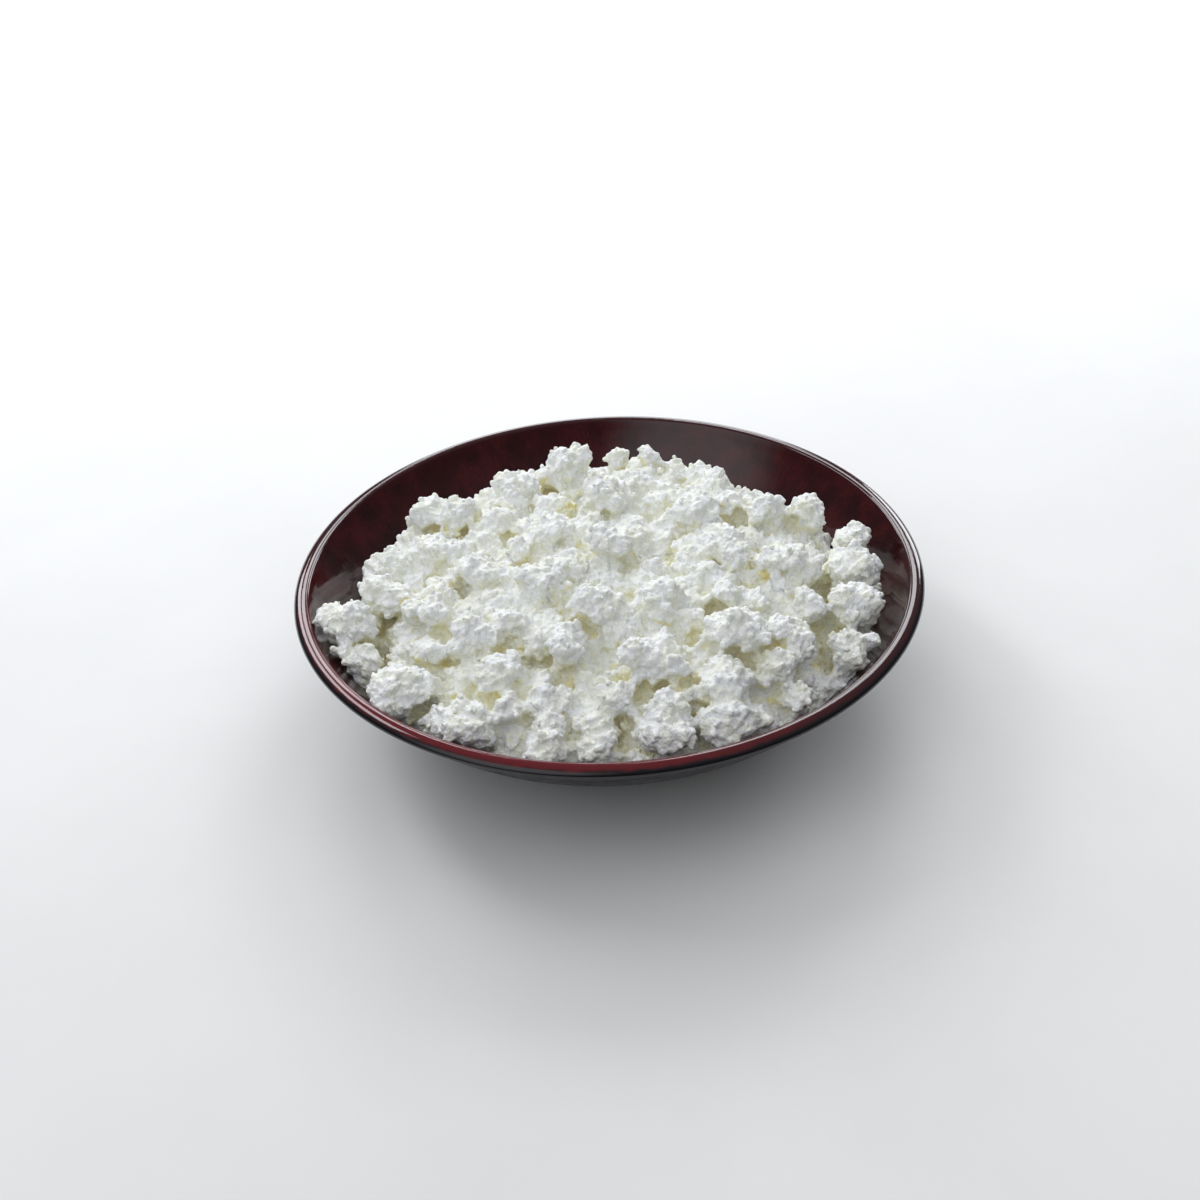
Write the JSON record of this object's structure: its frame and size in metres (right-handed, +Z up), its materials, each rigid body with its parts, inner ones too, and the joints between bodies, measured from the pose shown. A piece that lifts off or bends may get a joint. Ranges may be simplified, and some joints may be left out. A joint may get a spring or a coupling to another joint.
{
  "type": "bowl of quark",
  "caption": "Shallow flared bowl with a rolled lip and a foot ring, glazed dark oxblood, heaped above its rim with loose moist curds of fresh quark.",
  "frame": {"origin": "middle of the foot ring, on the surface that the bowl stands on", "axes": "+Z up along the bowl's axis, -Y towards the picture's viewer, +X to the viewer's right"},
  "size_m": [0.24, 0.24, 0.074],
  "materials": {
    "glaze": "high gloss, streaked oxblood inside, redder on the lip, near black outside",
    "quark": "moist off-white curd, slightly translucent, pale yellow in the creases"
  },
  "bodies": {
    "root": {"bowl": "glaze", "quark_heap": "quark"}
  },
  "joints": []
}
